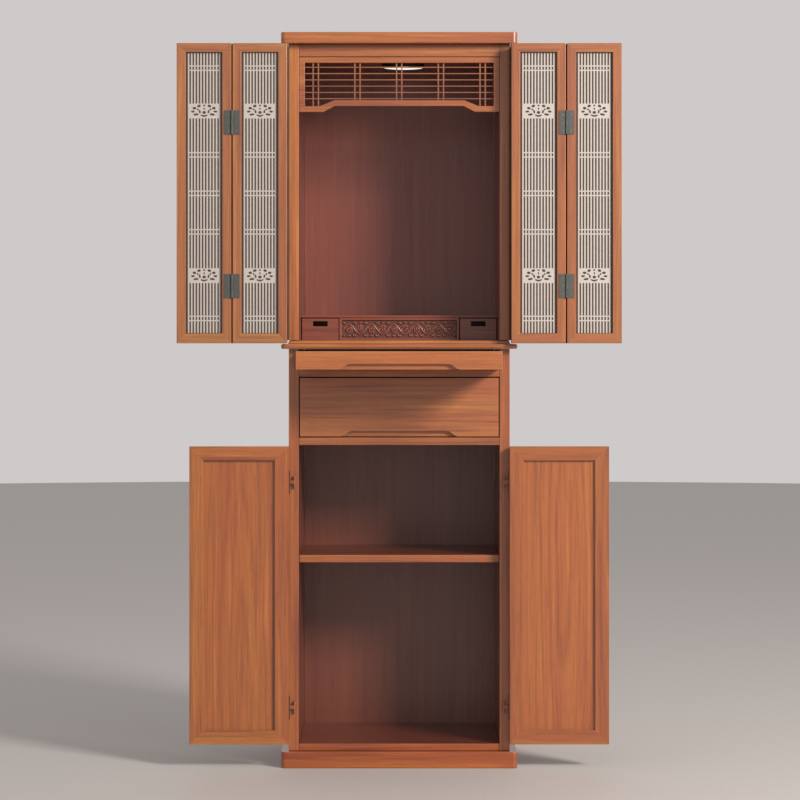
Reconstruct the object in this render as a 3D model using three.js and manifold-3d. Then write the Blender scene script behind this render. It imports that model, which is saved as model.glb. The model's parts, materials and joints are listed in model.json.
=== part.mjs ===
// Household altar cabinet: a closed lower case with two doors, a drawer and a pull-out tray,
// and a glazed shrine above it with two pairs of folding leaves.
// Millimetres. +X is the viewer's right, the front faces -Y, and +Z is up. The origin is the
// centre of the plinth's footprint, on the floor. The model stands with its doors opened flat
// and its tray drawn out.
import * as THREE from 'three';
import { mergeVertices } from 'three/addons/utils/BufferGeometryUtils.js';
import Module from 'manifold-3d';

const wasm = await Module();
wasm.setup();

// Case
const CASE_WIDTH = 566;
const CASE_DEPTH = 380;
const SIDE_BOARD = 26;
const BACK_BOARD = 9;
const BACK_INSET = 6;

// Clearances: FIT is left between pieces that touch, SLIDE beside pieces that slide
const FIT = 0.3;
const SLIDE = 1.4;

// Heights, from the floor up
const PLINTH_HEIGHT = 42;
const FLOOR_BOARD = 18.5;
const LOWER_BAY = 764;
const DIVIDER = 20;
const DRAWER_BAY = 155;
const TRAY_BED = 18.5;
const TRAY_BAY = 53;
const BASE_BOARD = 22;
const SHRINE_BAY = 727;
const FASCIA_HEIGHT = 31;
const CAP_HEIGHT = 29;

// Plinth, shrine base and cap stand out past the case and share one rounded corner
const LEDGE_SIDE = 19;
const LEDGE_FRONT = 28;
const PLINTH_FRONT = 20;
const LEDGE_CORNER = 12;
const PLINTH_RAIL = 46;
const PLINTH_BEARER = 60;

// Lower bay shelf
const SHELF_THICKNESS = 20;
const SHELF_ABOVE_FLOOR = 461.5;
const SHELF_SETBACK = 24;

// Lower doors: frame and panel
const DOOR_THICKNESS = 20;
const DOOR_MEMBER = 36;
const DOOR_GAP = 2;
const DOOR_HINGE_GAP = 2.2;
const DOOR_MEETING_GAP = 2;
const PANEL_THICKNESS = 9;
const PANEL_RECESS = 7.5;
const PANEL_TONGUE = 9;

// Lower door hinges: a strap on the stile's face and a plate on the door's edge
const DOOR_PIN_INSET = 14.8;
const DOOR_PIN_AHEAD = 4.5;
const DOOR_BARREL = 3.2;
const DOOR_KNUCKLE = 10;
const DOOR_STRAP = 1.5;
const DOOR_STRIP = 0.7;
const DOOR_STRIP_WIDTH = 8;
const DOOR_EDGE_PLATE = 59;
const DOOR_HINGE_FROM_END = 92;

// Glazed shrine leaves, four alike
const LEAF_WIDTH = 139;
const LEAF_THICKNESS = 20;
const LEAF_MEMBER = 23;
const LEAF_BOTTOM_MEMBER = 25;
const LEAF_OVERLAP = 7.5;
const LEAF_HEAD_GAP = 2;
const LEAF_SILL_GAP = 1.5;
const LEAF_CASE_GAP = 2;
const LEAF_EDGE_INSET = 1;
const LEAF_FOLD_GAP = 3;
const GLASS_THICKNESS = 4;
const GLASS_TONGUE = 6;

// Long hinges that carry the inner leaves, and short hinges that join each pair
const HINGE_BARREL = 2.6;
const HINGE_PIN = 1.2;
const HINGE_BORE_GAP = 0.3;
const HINGE_PLATE = 1.5;
const KNUCKLE_GAP = 0.4;
const KNUCKLE_CLEARANCE = 0.5;
const LONG_HINGE_KNUCKLES = 9;
const LONG_HINGE_FIXED_REACH = 14;
const LONG_HINGE_LEAF_REACH = 18;
const LONG_HINGE_END_INSET = 8;
const CASE_PIN_OUTSIDE = 0.5;
const CASE_PIN_AHEAD = 3.2;
const FOLD_HINGE_HEIGHT = 61;
const FOLD_HINGE_KNUCKLES = 3;
const FOLD_HINGE_REACH = 19.8;
const FOLD_PIN_AHEAD = 2.8;
const FOLD_HINGE_FROM_ENDS = [145.5, 202];

// Transom over the shrine opening, with a stepped lower rail and a lattice
const FASCIA_THICKNESS = 20;
const TRANSOM_SETBACK = 4;
const TRANSOM_THICKNESS = 16;
const TRANSOM_HEIGHT = 141;
const TRANSOM_MEMBER = 15;
const TRANSOM_RISE = 15;
const TRANSOM_FOOT = 63;
const TRANSOM_FOOT_INSIDE = 53.5;
const TRANSOM_RAMP = 29;
const TRANSOM_RAMP_INSIDE = 36.7;
const LATTICE_THICKNESS = 6;
const LATTICE_ROWS = 6;
const LATTICE_ROW_PITCH = 16.1;
const LATTICE_ROW_BAR = 2.4;
const LATTICE_TOP_GAP = 10;
const LATTICE_PAIRS = 5;
const LATTICE_END_INSET = 43;
const LATTICE_PAIR_PITCH = 13.4;
const LATTICE_PAIR_BAR = 3.4;

// Ceiling and lamp
const CEILING_BOARD = 18;
const LAMP_DIAMETER = 110;
const LAMP_TRIM = 4;
const LAMP_DROP = 12;
const LAMP_OFFSET = 11;
const LAMP_DEPTH = 180;

// Step at the back of the shrine, with a carved front and two small drawers
const STEP_SETBACK = 150;
const STEP_HEIGHT = 66;
const STEP_TOP = 6;
const STEP_TOP_LIP = 2;
const STEP_FRONT_BOARD = 14;
const STEP_CENTRE_WIDTH = 314;
const STEP_PARTITION = 11;
const STEP_DRAWER_GAP = 2;
const STEP_DRAWER_BACK_ROOM = 25;
const STEP_DRAWER_WALL = 7;
const STEP_DRAWER_FRONT = 12;
const STEP_SLOT_WIDTH = 38;
const STEP_SLOT_HEIGHT = 13;
const STEP_SLOT_BELOW_TOP = 16;

// Carving on the step's front: a row of open flowers on a stem, in a sunk field
const CARVING_BORDER = 7;
const CARVING_SUNK = 5;
const CARVING_RAISED = 4;
const FLOWER_COUNT = 5;
const PETAL_LENGTH = 19;
const PETAL_WIDTH = 10;
const PETALS = 5;
const STEM_WIDTH = 4;
const LEAF_CARVING_LENGTH = 17;

// Tray and drawer, with a carved finger pull under each front
const TRAY_OUT = 235;
const TRAY_FRONT_BOARD = 22;
const TRAY_FRONT_HEIGHT = 45.5;
const TRAY_FRONT_GAP = 2;
const TRAY_BOARD = 18;
const TRAY_BOARD_DROP = 2;
const TRAY_BACK_ROOM = 10;
const TRAY_RUNNER = 22;
const DRAWER_FRONT_BOARD = 20;
const DRAWER_FRONT_GAP = 2.4;
const DRAWER_BACK_ROOM = 10;
const DRAWER_BOX_HEIGHT = 120;
const DRAWER_WALL = 12;
const DRAWER_BOTTOM = 8;
const PULL_WIDTH = 308;
const PULL_FLAT = 236;
const PULL_HEIGHT = 14;
const PULL_DEPTH = 11;

// Smaller pulls, carved in the free edges of the lower doors and outer leaves, on the outside
const EDGE_PULL_WIDTH = 130;
const EDGE_PULL_FLAT = 90;
const EDGE_PULL_HEIGHT = 10;
const EDGE_PULL_DEPTH = 7;
const DOOR_PULL_BELOW_TOP = 260;

// Levels and planes that follow from the sizes above
const HALF = CASE_WIDTH / 2;
const INNER = HALF - SIDE_BOARD;
const BACK = (CASE_DEPTH + PLINTH_FRONT) / 2;
const FRONT = BACK - CASE_DEPTH;
const BACK_FACE = BACK - BACK_INSET - BACK_BOARD;
const Z_LOWER = PLINTH_HEIGHT + FLOOR_BOARD;
const Z_DIVIDER = Z_LOWER + LOWER_BAY;
const Z_DRAWER = Z_DIVIDER + DIVIDER;
const Z_TRAY_BED = Z_DRAWER + DRAWER_BAY;
const Z_TRAY = Z_TRAY_BED + TRAY_BED;
const Z_BASE = Z_TRAY + TRAY_BAY;
const Z_SHRINE = Z_BASE + BASE_BOARD;
const Z_CEILING = Z_SHRINE + SHRINE_BAY;
const Z_CAP = Z_CEILING + FASCIA_HEIGHT;
const Z_TOP = Z_CAP + CAP_HEIGHT;
const OVERCUT = 1;

const WOOD = { color: 0xa85a30, roughness: 0.42, metalness: 0 };
const WOOD_LIGHT = { color: 0xba6d3c, roughness: 0.42, metalness: 0 };
const WOOD_DARK = { color: 0x63382b, roughness: 0.5, metalness: 0 };
const GUNMETAL = { color: 0x3b3f3e, roughness: 0.4, metalness: 0.85 };
const GLASS = { color: 0xd8e0dc, roughness: 0.05, metalness: 0, transparent: true, opacity: 0.35 };
const LAMP_WHITE = { color: 0xf6f4ee, roughness: 0.4, metalness: 0, emissive: 0x555044 };

// Booleans between closed geometries

function toSolid(geometry) {
  const bare = geometry.clone();
  bare.deleteAttribute('normal');
  bare.deleteAttribute('uv');
  const merged = mergeVertices(bare);
  return new wasm.Manifold(new wasm.Mesh({
    numProp: 3,
    vertProperties: new Float32Array(merged.attributes.position.array),
    triVerts: new Uint32Array(merged.index.array),
  }));
}

function toGeometry(solid) {
  const mesh = solid.getMesh();
  const geometry = new THREE.BufferGeometry();
  geometry.setAttribute('position', new THREE.BufferAttribute(new Float32Array(mesh.vertProperties), 3));
  geometry.setIndex(new THREE.BufferAttribute(new Uint32Array(mesh.triVerts), 1));
  return geometry;
}

function join(...geometries) {
  return toGeometry(geometries.map(toSolid).reduce((sum, solid) => sum.add(solid)));
}

function cut(geometry, ...cutters) {
  return toGeometry(cutters.map(toSolid).reduce((rest, cutter) => rest.subtract(cutter), toSolid(geometry)));
}

// Plain shapes

function box(x, y, z) {
  const geometry = new THREE.BoxGeometry(x[1] - x[0], y[1] - y[0], z[1] - z[0]);
  geometry.translate((x[0] + x[1]) / 2, (y[0] + y[1]) / 2, (z[0] + z[1]) / 2);
  return geometry;
}

function post(x, y, z, radius, sides = 16) {
  const geometry = new THREE.CylinderGeometry(radius, radius, z[1] - z[0], sides);
  geometry.rotateX(Math.PI / 2);
  geometry.translate(x, y, (z[0] + z[1]) / 2);
  return geometry;
}

// Extrudes an outline drawn in X and Z along Y, from y[0] to y[1]
function upright(shape, y, curveSegments = 6) {
  const geometry = new THREE.ExtrudeGeometry(shape, {
    depth: y[1] - y[0],
    bevelEnabled: false,
    curveSegments,
  });
  geometry.rotateX(Math.PI / 2);
  geometry.translate(0, y[1], 0);
  return geometry;
}

// The same geometry on the other side of the plane X = 0
function mirrored(geometry) {
  const copy = mergeVertices(geometry.clone());
  copy.scale(-1, 1, 1);
  const index = copy.index.array;
  for (let i = 0; i < index.length; i += 3) {
    [index[i], index[i + 2]] = [index[i + 2], index[i]];
  }
  return copy;
}

const both = (half) => [-half, half];
const behind = (from, to) => [FRONT + from, FRONT + to];

const group = new THREE.Group();

function add(name, geometry, finish) {
  const mesh = new THREE.Mesh(geometry, new THREE.MeshStandardMaterial(finish));
  mesh.name = name;
  group.add(mesh);
}

// Adds a piece drawn on the right, and its mirror image on the left
function addPair(name, geometry, finish, tail = '') {
  add(`${name}_right${tail}`, geometry, finish);
  add(`${name}_left${tail}`, mirrored(geometry), finish);
}

// Case boards

function ledge(lip, z) {
  const x = HALF + LEDGE_SIDE;
  const y = FRONT - lip;
  const shape = new THREE.Shape();
  shape.moveTo(-x, BACK);
  shape.lineTo(-x, y + LEDGE_CORNER);
  shape.absarc(-x + LEDGE_CORNER, y + LEDGE_CORNER, LEDGE_CORNER, Math.PI, Math.PI * 1.5, false);
  shape.absarc(x - LEDGE_CORNER, y + LEDGE_CORNER, LEDGE_CORNER, Math.PI * 1.5, Math.PI * 2, false);
  shape.lineTo(x, BACK);
  shape.closePath();
  const geometry = new THREE.ExtrudeGeometry(shape, {
    depth: z[1] - z[0],
    bevelEnabled: false,
    curveSegments: 5,
  });
  geometry.translate(0, 0, z[0]);
  return geometry;
}

function plinth() {
  const z = [-OVERCUT, PLINTH_HEIGHT + OVERCUT];
  const y = [FRONT - PLINTH_FRONT + PLINTH_RAIL, BACK - PLINTH_RAIL];
  const x = [PLINTH_BEARER / 2, HALF + LEDGE_SIDE - PLINTH_RAIL];
  const pocket = box(x, y, z);
  return cut(ledge(PLINTH_FRONT, [0, PLINTH_HEIGHT]), pocket, mirrored(pocket));
}

// The leaves close in front of this sill: its lip stays below them and its floor stands behind
function shrineBase() {
  const lipTop = Z_SHRINE - LEAF_OVERLAP - LEAF_SILL_GAP;
  const lip = ledge(LEDGE_FRONT, [Z_BASE + FIT, lipTop]);
  return join(lip, box(both(HALF), [FRONT, BACK], [Z_BASE + FIT, Z_SHRINE]));
}

function crossBoard(setback, z) {
  return box(both(INNER - FIT), [FRONT + setback, BACK_FACE - FIT], [z[0] + FIT, z[1]]);
}

function backBoard(z) {
  return box(both(INNER - FIT), [BACK_FACE, BACK_FACE + BACK_BOARD], [z[0] + FIT, z[1]]);
}

function buildCase() {
  const side = [HALF - SIDE_BOARD, HALF];
  const shelf = Z_LOWER + SHELF_ABOVE_FLOOR;
  add('plinth', plinth(), WOOD);
  addPair('lower_side', box(side, [FRONT, BACK], [PLINTH_HEIGHT + FIT, Z_BASE]), WOOD);
  add('lower_back', backBoard([PLINTH_HEIGHT, Z_BASE]), WOOD_DARK);
  add('lower_floor', crossBoard(0, [PLINTH_HEIGHT, Z_LOWER]), WOOD);
  add('lower_shelf', crossBoard(SHELF_SETBACK, [shelf, shelf + SHELF_THICKNESS]), WOOD);
  add('drawer_divider', crossBoard(0, [Z_DIVIDER, Z_DRAWER]), WOOD);
  add('tray_bed', crossBoard(0, [Z_TRAY_BED, Z_TRAY]), WOOD);
  add('shrine_base', shrineBase(), WOOD);
  addPair('shrine_side', box(side, [FRONT, BACK], [Z_SHRINE + FIT, Z_CAP]), WOOD);
  add('shrine_back', backBoard([Z_SHRINE, Z_CAP]), WOOD_DARK);
  add('shrine_fascia', box(both(INNER - FIT), behind(0, FASCIA_THICKNESS), [Z_CEILING, Z_CAP]), WOOD);
  const ceiling = crossBoard(FASCIA_THICKNESS + FIT, [Z_CEILING, Z_CEILING + CEILING_BOARD]);
  add('shrine_ceiling', ceiling, WOOD_DARK);
  add('shrine_cap', ledge(LEDGE_FRONT, [Z_CAP + FIT, Z_TOP]), WOOD);
}

// Transom: the lower rail steps up between its two feet

function steppedOutline(halfWidth, top, bottom, foot, ramp) {
  const corner = INNER - foot;
  const points = [
    [-halfWidth, top],
    [-halfWidth, bottom],
    [-corner, bottom],
    [-corner + ramp, bottom + TRANSOM_RISE],
    [corner - ramp, bottom + TRANSOM_RISE],
    [corner, bottom],
    [halfWidth, bottom],
    [halfWidth, top],
  ];
  return new THREE.Shape(points.map(([x, z]) => new THREE.Vector2(x, z)));
}

const TRANSOM_TOP = Z_CEILING - FIT;
const TRANSOM_BOTTOM = TRANSOM_TOP - TRANSOM_HEIGHT;

function transomWindow(shrink) {
  return steppedOutline(
    INNER - TRANSOM_MEMBER - shrink,
    TRANSOM_TOP - TRANSOM_MEMBER - shrink,
    TRANSOM_BOTTOM + TRANSOM_MEMBER + shrink,
    TRANSOM_FOOT_INSIDE,
    TRANSOM_RAMP_INSIDE,
  );
}

function transomFrame() {
  const y = behind(TRANSOM_SETBACK, TRANSOM_SETBACK + TRANSOM_THICKNESS);
  const outline = steppedOutline(INNER - FIT, TRANSOM_TOP, TRANSOM_BOTTOM, TRANSOM_FOOT, TRANSOM_RAMP);
  return cut(upright(outline, y), upright(transomWindow(0), [y[0] - OVERCUT, y[1] + OVERCUT]));
}

function transomLattice() {
  const middle = FRONT + TRANSOM_SETBACK + TRANSOM_THICKNESS / 2;
  const y = [middle - LATTICE_THICKNESS / 2, middle + LATTICE_THICKNESS / 2];
  const top = TRANSOM_TOP - TRANSOM_MEMBER;
  const spacing = (2 * (INNER - LATTICE_END_INSET)) / (LATTICE_PAIRS - 1);
  const bars = [];
  for (let row = 0; row < LATTICE_ROWS; row += 1) {
    const z = top - LATTICE_TOP_GAP - row * LATTICE_ROW_PITCH;
    bars.push(box(both(INNER), y, [z - LATTICE_ROW_BAR, z]));
  }
  for (let pair = 0; pair < LATTICE_PAIRS; pair += 1) {
    const centre = (pair - (LATTICE_PAIRS - 1) / 2) * spacing;
    for (const x of [centre - LATTICE_PAIR_PITCH / 2, centre + LATTICE_PAIR_PITCH / 2]) {
      bars.push(box([x - LATTICE_PAIR_BAR / 2, x + LATTICE_PAIR_BAR / 2], y, [TRANSOM_BOTTOM, TRANSOM_TOP]));
    }
  }
  const window = toSolid(upright(transomWindow(FIT), [y[0] - OVERCUT, y[1] + OVERCUT]));
  return toGeometry(toSolid(join(...bars)).intersect(window));
}

// A shallow dome hung under a flat trim ring
function lamp() {
  const radius = LAMP_DIAMETER / 2;
  const top = Z_CEILING;
  const profile = [new THREE.Vector2(0, top), new THREE.Vector2(radius * 0.8, top)];
  profile.push(new THREE.Vector2(radius * 0.8, top - LAMP_TRIM));
  const steps = 6;
  for (let step = 0; step <= steps; step += 1) {
    const angle = (step / steps) * (Math.PI / 2);
    const drop = LAMP_TRIM + (LAMP_DROP - LAMP_TRIM) * Math.sin(angle);
    profile.push(new THREE.Vector2(step === steps ? 0 : radius * Math.cos(angle), top - drop));
  }
  const geometry = new THREE.LatheGeometry(profile.reverse(), 32);
  geometry.rotateX(Math.PI / 2);
  geometry.translate(LAMP_OFFSET, FRONT + LAMP_DEPTH, 0);
  return geometry;
}

function buildTransom() {
  add('transom_frame', transomFrame(), WOOD);
  add('transom_lattice', transomLattice(), WOOD_LIGHT);
  add('lamp', lamp(), LAMP_WHITE);
}

// Step with its carving

const STEP_TOP_LEVEL = Z_SHRINE + STEP_HEIGHT;
const STEP_UNDER_TOP = STEP_TOP_LEVEL - STEP_TOP;

function petal(length, width) {
  const shape = new THREE.Shape();
  shape.moveTo(0, 0);
  shape.quadraticCurveTo(width / 2, length * 0.45, 0, length);
  shape.quadraticCurveTo(-width / 2, length * 0.45, 0, 0);
  return shape;
}

// One carved shape, turned about the Y axis and set on the field at x and z
function carved(shape, x, z, turn, depth) {
  const geometry = upright(shape, depth, 4);
  geometry.translate(0, -depth[1], 0);
  geometry.rotateY(turn);
  geometry.translate(x, depth[1], z);
  return geometry;
}

function stepFront() {
  const halfWidth = STEP_CENTRE_WIDTH / 2;
  const face = FRONT + STEP_SETBACK;
  const z = [Z_SHRINE + FIT, STEP_UNDER_TOP - FIT];
  const field = [z[0] + CARVING_BORDER, z[1] - CARVING_BORDER / 2];
  const board = box(both(halfWidth), [face, face + STEP_FRONT_BOARD], z);
  const sunk = box(both(halfWidth - CARVING_BORDER), [face - OVERCUT, face + CARVING_SUNK], field);
  const middle = (field[0] + field[1]) / 2;
  const proud = [face + CARVING_SUNK - CARVING_RAISED, face + CARVING_SUNK + OVERCUT];
  const low = [face + CARVING_SUNK - CARVING_RAISED / 2, face + CARVING_SUNK + OVERCUT];
  const pitch = (STEP_CENTRE_WIDTH - 2 * CARVING_BORDER) / FLOWER_COUNT;
  const pieces = [cut(board, sunk)];
  const stem = [middle - STEM_WIDTH / 2, middle + STEM_WIDTH / 2];
  pieces.push(box(both(halfWidth - 2 * CARVING_BORDER), low, stem));
  for (let flower = 0; flower < FLOWER_COUNT; flower += 1) {
    const x = (flower - (FLOWER_COUNT - 1) / 2) * pitch;
    const bloom = petal(PETAL_LENGTH, PETAL_WIDTH);
    for (let k = 0; k < PETALS; k += 1) {
      const turn = ((k - (PETALS - 1) / 2) / PETALS) * Math.PI * 1.25;
      pieces.push(carved(bloom, x, middle - PETAL_WIDTH / 2, turn, proud));
    }
    const sprig = petal(LEAF_CARVING_LENGTH, PETAL_WIDTH);
    for (const side of [-1, 1]) {
      pieces.push(carved(sprig, x + side * STEM_WIDTH, middle - PETAL_WIDTH / 2, side * Math.PI * 0.78, low));
    }
  }
  return join(...pieces);
}

const STEP_DRAWER_Y = [FRONT + STEP_SETBACK, BACK_FACE - STEP_DRAWER_BACK_ROOM];
const STEP_DRAWER_X = [STEP_CENTRE_WIDTH / 2 + STEP_DRAWER_GAP, INNER - STEP_DRAWER_GAP];

function stepDrawer() {
  const [face, rear] = STEP_DRAWER_Y;
  const z = [Z_SHRINE + FIT, STEP_UNDER_TOP - STEP_DRAWER_GAP];
  const body = box(STEP_DRAWER_X, [face, rear], z);
  const hollow = box(
    [STEP_DRAWER_X[0] + STEP_DRAWER_WALL, STEP_DRAWER_X[1] - STEP_DRAWER_WALL],
    [face + STEP_DRAWER_FRONT, rear - STEP_DRAWER_WALL],
    [z[0] + STEP_DRAWER_WALL, z[1] + OVERCUT],
  );
  const slotX = (STEP_DRAWER_X[0] + STEP_DRAWER_X[1]) / 2;
  const slotZ = STEP_UNDER_TOP - STEP_SLOT_BELOW_TOP;
  const slot = box(
    [slotX - STEP_SLOT_WIDTH / 2, slotX + STEP_SLOT_WIDTH / 2],
    [face - OVERCUT, face + STEP_DRAWER_FRONT + OVERCUT],
    [slotZ - STEP_SLOT_HEIGHT / 2, slotZ + STEP_SLOT_HEIGHT / 2],
  );
  return cut(body, hollow, slot);
}

function buildStep() {
  const half = STEP_CENTRE_WIDTH / 2;
  const face = FRONT + STEP_SETBACK;
  const top = box(
    both(INNER - FIT),
    [face - STEP_TOP_LIP, BACK_FACE - FIT],
    [STEP_UNDER_TOP, STEP_TOP_LEVEL],
  );
  const partition = box(
    [half - STEP_PARTITION, half],
    [face + STEP_FRONT_BOARD + FIT, BACK_FACE - FIT],
    [Z_SHRINE + FIT, STEP_UNDER_TOP - FIT],
  );
  add('step_top', top, WOOD);
  add('step_front', stepFront(), WOOD);
  addPair('step_partition', partition, WOOD);
  addPair('step_drawer', stepDrawer(), WOOD);
}

// Tray and drawer

// A carved finger pull: a shallow recess with S-curved ends. It rises from an edge at Z = 0.
function fingerPull(width, flatWidth, height, y) {
  const run = (width - flatWidth) / 2;
  const wide = width / 2;
  const flat = flatWidth / 2;
  const shape = new THREE.Shape();
  shape.moveTo(-wide, -OVERCUT);
  shape.bezierCurveTo(-wide + run / 2, 0, -flat - run / 2, height, -flat, height);
  shape.lineTo(flat, height);
  shape.bezierCurveTo(flat + run / 2, height, wide - run / 2, 0, wide, -OVERCUT);
  shape.closePath();
  return upright(shape, y, 8);
}

function pullUnder(face, bottom) {
  const pull = fingerPull(PULL_WIDTH, PULL_FLAT, PULL_HEIGHT, [face - OVERCUT, face + PULL_DEPTH]);
  pull.translate(0, 0, bottom);
  return pull;
}

// The same cut in an upright edge at x, in the face that looks to +Y
function pullInEdge(x, face, centre) {
  const y = [face - EDGE_PULL_DEPTH, face + OVERCUT];
  const pull = fingerPull(EDGE_PULL_WIDTH, EDGE_PULL_FLAT, EDGE_PULL_HEIGHT, y);
  pull.rotateY(-Math.PI / 2);
  pull.translate(x, 0, centre);
  return pull;
}

function buildTray() {
  const face = FRONT - TRAY_OUT;
  const half = INNER - SLIDE;
  const bottom = Z_TRAY + TRAY_FRONT_GAP;
  const top = bottom + TRAY_FRONT_HEIGHT;
  const front = box(both(half), [face, face + TRAY_FRONT_BOARD], [bottom, top]);
  const y = [face + TRAY_FRONT_BOARD + FIT, BACK_FACE - TRAY_BACK_ROOM - TRAY_OUT];
  const boardTop = top - TRAY_BOARD_DROP;
  const board = box(both(half), y, [boardTop - TRAY_BOARD, boardTop]);
  const runner = box([half - TRAY_RUNNER, half], y, [Z_TRAY + FIT, boardTop - TRAY_BOARD / 2]);
  add('tray_front', cut(front, pullUnder(face, bottom)), WOOD_LIGHT);
  add('tray_board', join(board, runner, mirrored(runner)), WOOD_LIGHT);
}

function buildDrawer() {
  const bottom = Z_DRAWER + DRAWER_FRONT_GAP;
  const top = Z_TRAY_BED - DRAWER_FRONT_GAP;
  const half = INNER - SLIDE;
  const front = box(both(INNER - DRAWER_FRONT_GAP), behind(0, DRAWER_FRONT_BOARD), [bottom, top]);
  const y = [FRONT + DRAWER_FRONT_BOARD + FIT, BACK_FACE - DRAWER_BACK_ROOM];
  const z = [Z_DRAWER + FIT, Z_DRAWER + DRAWER_BOX_HEIGHT];
  const body = box(both(half), y, z);
  const hollow = box(
    both(half - DRAWER_WALL),
    [y[0] + DRAWER_WALL, y[1] - DRAWER_WALL],
    [z[0] + DRAWER_BOTTOM, z[1] + OVERCUT],
  );
  add('drawer_front', cut(front, pullUnder(FRONT, bottom)), WOOD);
  add('drawer_box', cut(body, hollow), WOOD_LIGHT);
}

// A framed panel stood upright: a ring with a groove all round, and the sheet that sits in it.
// The groove and the sheet share one size, and the groove is wider by FIT on every side.

function ringFrame(x, y, z, member, bottomMember, sheet, tongue) {
  const window = box(
    [x[0] + member, x[1] - member],
    [y[0] - OVERCUT, y[1] + OVERCUT],
    [z[0] + bottomMember, z[1] - member],
  );
  const groove = box(
    [x[0] + member - tongue, x[1] - member + tongue],
    [sheet[0] - FIT, sheet[1] + FIT],
    [z[0] + bottomMember - tongue, z[1] - member + tongue],
  );
  return cut(box(x, y, z), window, groove);
}

function ringSheet(x, z, member, bottomMember, sheet, tongue) {
  const grip = tongue - FIT;
  return box(
    [x[0] + member - grip, x[1] - member + grip],
    sheet,
    [z[0] + bottomMember - grip, z[1] - member + grip],
  );
}

// Hinges: knuckles alternate along one pin, which is fast in the first half

function knuckles(count, z, first) {
  const pitch = (z[1] - z[0]) / count;
  const spans = [];
  for (let k = first; k < count; k += 2) {
    const low = z[0] + k * pitch + (k > 0 ? KNUCKLE_GAP / 2 : 0);
    const high = z[0] + (k + 1) * pitch - (k < count - 1 ? KNUCKLE_GAP / 2 : 0);
    spans.push([low, high]);
  }
  return spans;
}

function hingeHalf(pin, z, count, radius, plate, first) {
  const room = radius + KNUCKLE_CLEARANCE;
  const away = knuckles(count, z, 1 - first).map(([low, high]) => box(
    [pin.x - room, pin.x + room],
    [pin.y - room, pin.y + room],
    [low - KNUCKLE_GAP, high + KNUCKLE_GAP],
  ));
  const own = knuckles(count, z, first).map((span) => post(pin.x, pin.y, span, radius));
  const half = join(cut(plate, ...away), ...own);
  if (first === 0) {
    return join(half, post(pin.x, pin.y, z, HINGE_PIN, 12));
  }
  return cut(half, post(pin.x, pin.y, [z[0] - OVERCUT, z[1] + OVERCUT], HINGE_PIN + HINGE_BORE_GAP, 12));
}

// Shrine leaves, drawn on the right and opened flat beside the case

const LEAF_Z = [Z_SHRINE - LEAF_OVERLAP, Z_CAP - LEAF_HEAD_GAP];
const CASE_PIN = {
  x: HALF + CASE_PIN_OUTSIDE,
  y: FRONT - LEAF_CASE_GAP - LEAF_THICKNESS - CASE_PIN_AHEAD,
};
const LEAF_BACK = CASE_PIN.y - CASE_PIN_AHEAD;
const LEAF_FACE = LEAF_BACK - LEAF_THICKNESS;
const LEAF_INNER_X = 2 * CASE_PIN.x - (HALF - LEAF_EDGE_INSET);
const FOLD_PIN = {
  x: LEAF_INNER_X + LEAF_WIDTH + LEAF_FOLD_GAP / 2,
  y: LEAF_FACE - FOLD_PIN_AHEAD,
};

function buildLeaf(name, x, pulls) {
  const y = [LEAF_FACE, LEAF_BACK];
  const middle = (LEAF_FACE + LEAF_BACK) / 2;
  const sheet = [middle - GLASS_THICKNESS / 2, middle + GLASS_THICKNESS / 2];
  const members = [LEAF_MEMBER, LEAF_BOTTOM_MEMBER, sheet, GLASS_TONGUE];
  addPair(`${name}_leaf_frame`, cut(ringFrame(x, y, LEAF_Z, ...members), ...pulls), WOOD);
  addPair(`${name}_leaf_glass`, ringSheet(x, LEAF_Z, ...members), GLASS);
}

function buildLongHinge() {
  const z = [LEAF_Z[0] + LONG_HINGE_END_INSET, LEAF_Z[1] - LONG_HINGE_END_INSET];
  const fixedPlate = box(
    [HALF + FIT, HALF + FIT + HINGE_PLATE],
    [CASE_PIN.y, FRONT + LONG_HINGE_FIXED_REACH],
    z,
  );
  const leafPlate = box(
    [CASE_PIN.x, CASE_PIN.x + LONG_HINGE_LEAF_REACH],
    [LEAF_BACK + FIT, LEAF_BACK + FIT + HINGE_PLATE],
    z,
  );
  const size = [z, LONG_HINGE_KNUCKLES, HINGE_BARREL];
  addPair('long_hinge', hingeHalf(CASE_PIN, ...size, fixedPlate, 0), GUNMETAL, '_case_half');
  addPair('long_hinge', hingeHalf(CASE_PIN, ...size, leafPlate, 1), GUNMETAL, '_leaf_half');
}

function buildFoldHinge(level, centre) {
  const z = [centre - FOLD_HINGE_HEIGHT / 2, centre + FOLD_HINGE_HEIGHT / 2];
  const y = [LEAF_FACE - FIT - HINGE_PLATE, LEAF_FACE - FIT];
  const innerPlate = box([FOLD_PIN.x - FOLD_HINGE_REACH, FOLD_PIN.x], y, z);
  const outerPlate = box([FOLD_PIN.x, FOLD_PIN.x + FOLD_HINGE_REACH], y, z);
  const size = [z, FOLD_HINGE_KNUCKLES, HINGE_BARREL];
  addPair(`fold_hinge_${level}`, hingeHalf(FOLD_PIN, ...size, innerPlate, 0), GUNMETAL, '_inner_half');
  addPair(`fold_hinge_${level}`, hingeHalf(FOLD_PIN, ...size, outerPlate, 1), GUNMETAL, '_outer_half');
}

function buildLeaves() {
  const outerX = LEAF_INNER_X + LEAF_WIDTH + LEAF_FOLD_GAP;
  const freeEdge = outerX + LEAF_WIDTH;
  buildLeaf('inner', [LEAF_INNER_X, LEAF_INNER_X + LEAF_WIDTH], []);
  buildLeaf('outer', [outerX, freeEdge], [pullInEdge(freeEdge, LEAF_BACK, (LEAF_Z[0] + LEAF_Z[1]) / 2)]);
  buildLongHinge();
  buildFoldHinge('low', LEAF_Z[0] + FOLD_HINGE_FROM_ENDS[0]);
  buildFoldHinge('high', LEAF_Z[1] - FOLD_HINGE_FROM_ENDS[1]);
}

// Lower doors, drawn on the right and opened flat beside the case

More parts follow.
